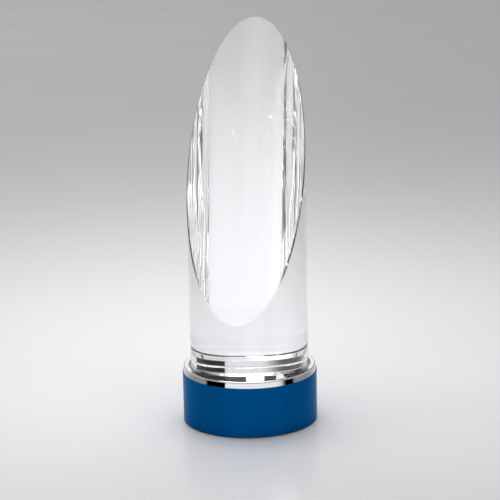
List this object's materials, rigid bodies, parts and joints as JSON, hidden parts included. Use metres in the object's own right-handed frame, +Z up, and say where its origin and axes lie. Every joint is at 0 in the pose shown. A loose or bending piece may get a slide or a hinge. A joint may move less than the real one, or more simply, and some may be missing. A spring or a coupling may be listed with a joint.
{
  "type": "column trophy",
  "caption": "Clear crystal column award with a steep slanted oval face, standing in a polished seat on a low blue round metal base.",
  "frame": {"origin": "centre of the felt underside, on the surface the award stands on, on the column's axis", "axes": "+Z up along the column's axis; -Y is the front, where the slanted oval face looks forwards and up; +X is to the right seen from the front"},
  "size_m": [0.0684, 0.0684, 0.2024],
  "materials": {
    "clear_crystal": "polished optical crystal",
    "clear_adhesive": "clear, cured",
    "polished_chrome": "mirror polished",
    "blue_anodised": "satin blue anodised",
    "ballast_steel": "turned, oiled",
    "zinc_steel": "zinc plated",
    "felt": "black felt"
  },
  "bodies": {
    "root": {"crystal_column": "clear_crystal", "column_bond": "clear_adhesive", "chrome_seat": "polished_chrome", "base_drum": "blue_anodised", "ballast_disc": "ballast_steel", "centre_bolt": "zinc_steel", "flat_washer": "zinc_steel", "spring_washer": "zinc_steel", "felt_pad": "felt"}
  },
  "joints": []
}
